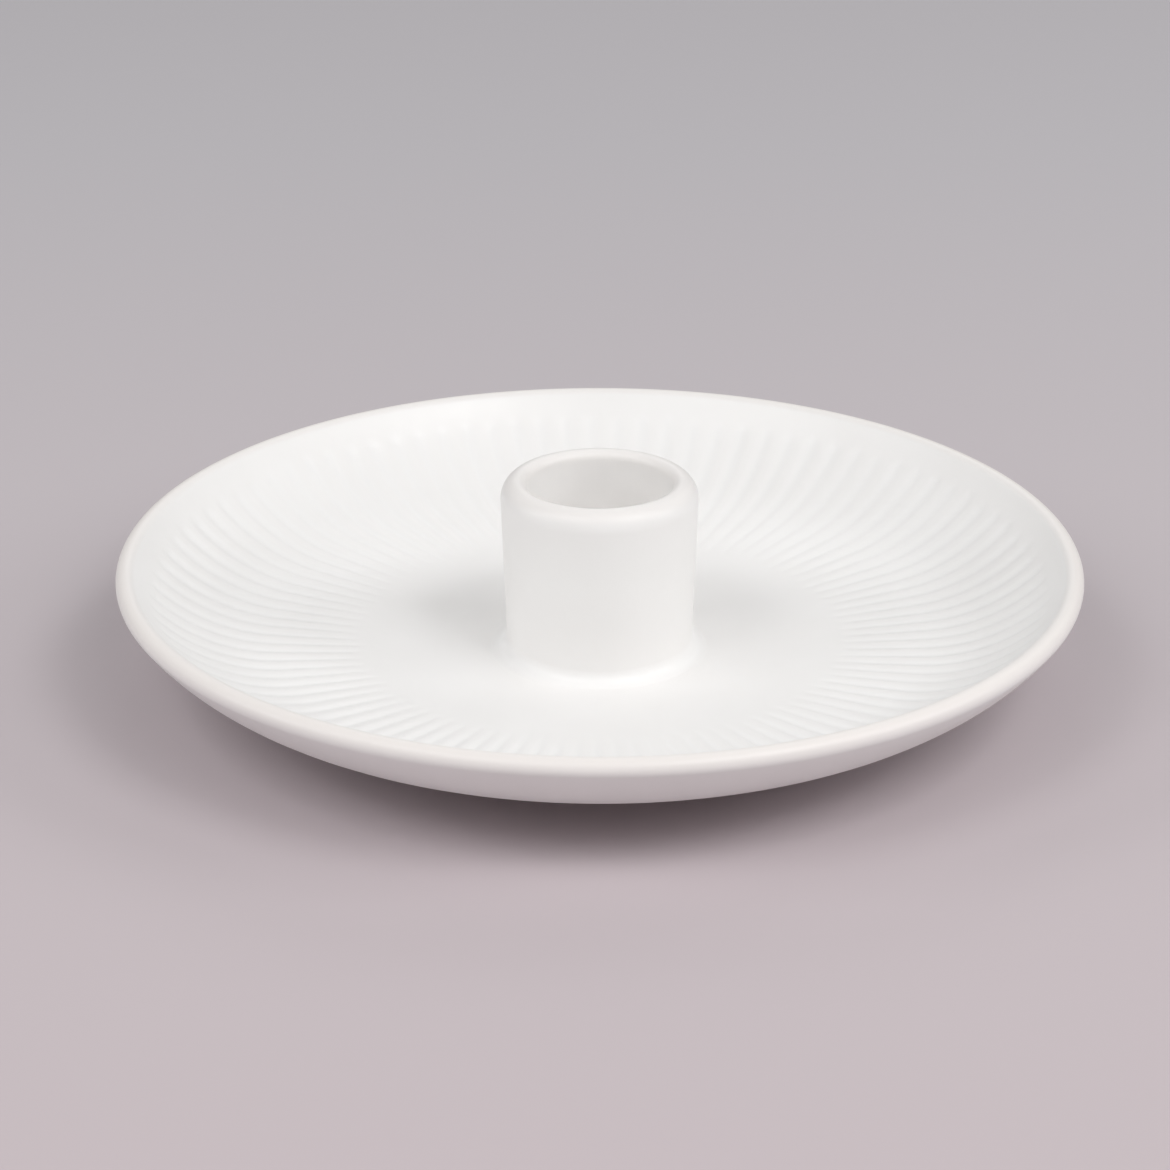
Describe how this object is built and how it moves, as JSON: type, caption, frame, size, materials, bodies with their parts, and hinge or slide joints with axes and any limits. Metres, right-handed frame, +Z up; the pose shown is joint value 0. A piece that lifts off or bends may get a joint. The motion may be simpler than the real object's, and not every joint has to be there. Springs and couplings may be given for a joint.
{
  "type": "candle plate",
  "caption": "Shallow round white glazed ceramic plate with a fluted well and a raised cup in its middle that holds a taper candle.",
  "frame": {"origin": "centre of the foot ring on the surface that the plate stands on", "axes": "+Z up along the candle, the plate's axis of turning; +X to the right and -Y towards the viewer of the picture"},
  "size_m": [0.15, 0.15, 0.032],
  "materials": {
    "glaze": "white satin glaze, thinner and warmer on the edges",
    "bare_foot": "unglazed, rubbed smooth where it stands"
  },
  "bodies": {
    "root": {"plate": "glaze", "candle_cup": "glaze", "slip_joint": "glaze", "foot_ring": "bare_foot"}
  },
  "joints": []
}
